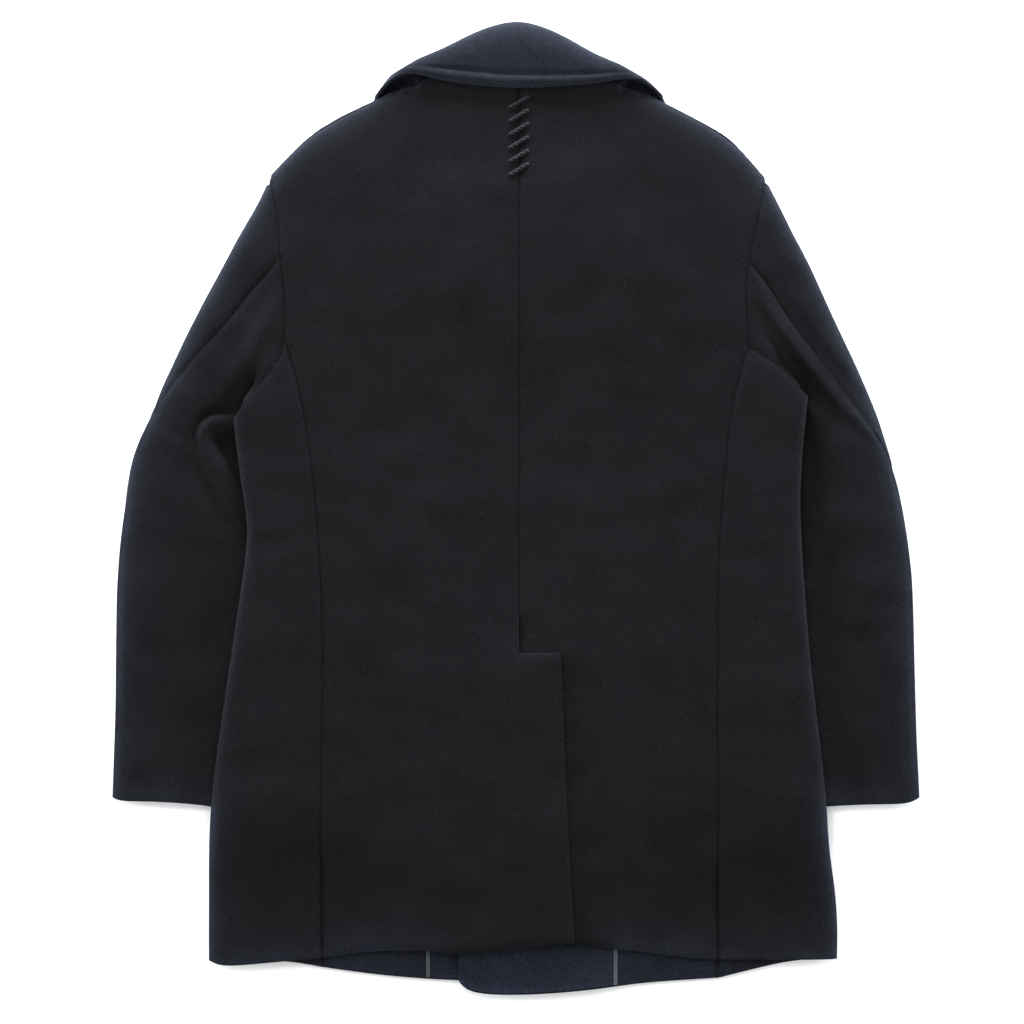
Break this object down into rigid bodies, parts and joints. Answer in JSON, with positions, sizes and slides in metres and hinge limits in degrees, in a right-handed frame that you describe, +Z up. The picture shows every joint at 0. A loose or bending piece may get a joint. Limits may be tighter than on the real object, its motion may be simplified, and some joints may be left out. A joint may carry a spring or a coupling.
{
  "type": "double-breasted pea coat laid flat",
  "caption": "Wool pea coat laid on its front, back up, sleeves tucked under the sides, collar folded over, back vent lapped.",
  "frame": {"origin": "on the surface the coat lies on, under the middle of its box", "axes": "+X to the wearer's right, +Y up the coat to the collar, +Z up from the surface"},
  "size_m": [0.745, 0.8974, 0.024],
  "materials": {
    "wool": "matte milled wool",
    "facing": "matte milled wool",
    "tape": "woven tape",
    "button": "satin"
  },
  "bodies": {
    "root": {"back_left": "wool", "back_right": "wool", "side_left": "wool", "side_right": "wool", "front_left": "wool", "front_right": "wool", "facing_left": "facing", "facing_right": "facing", "tape_left": "tape", "tape_right": "tape", "lapel_left": "wool", "lapel_right": "wool", "sleeve_top_left": "wool", "sleeve_top_right": "wool", "sleeve_under_left": "wool", "sleeve_under_right": "wool", "collar_fall": "wool", "collar_stand": "wool", "button_1": "button", "button_2": "button", "button_3": "button", "button_4": "button", "button_5": "button", "button_6": "button"}
  },
  "joints": []
}
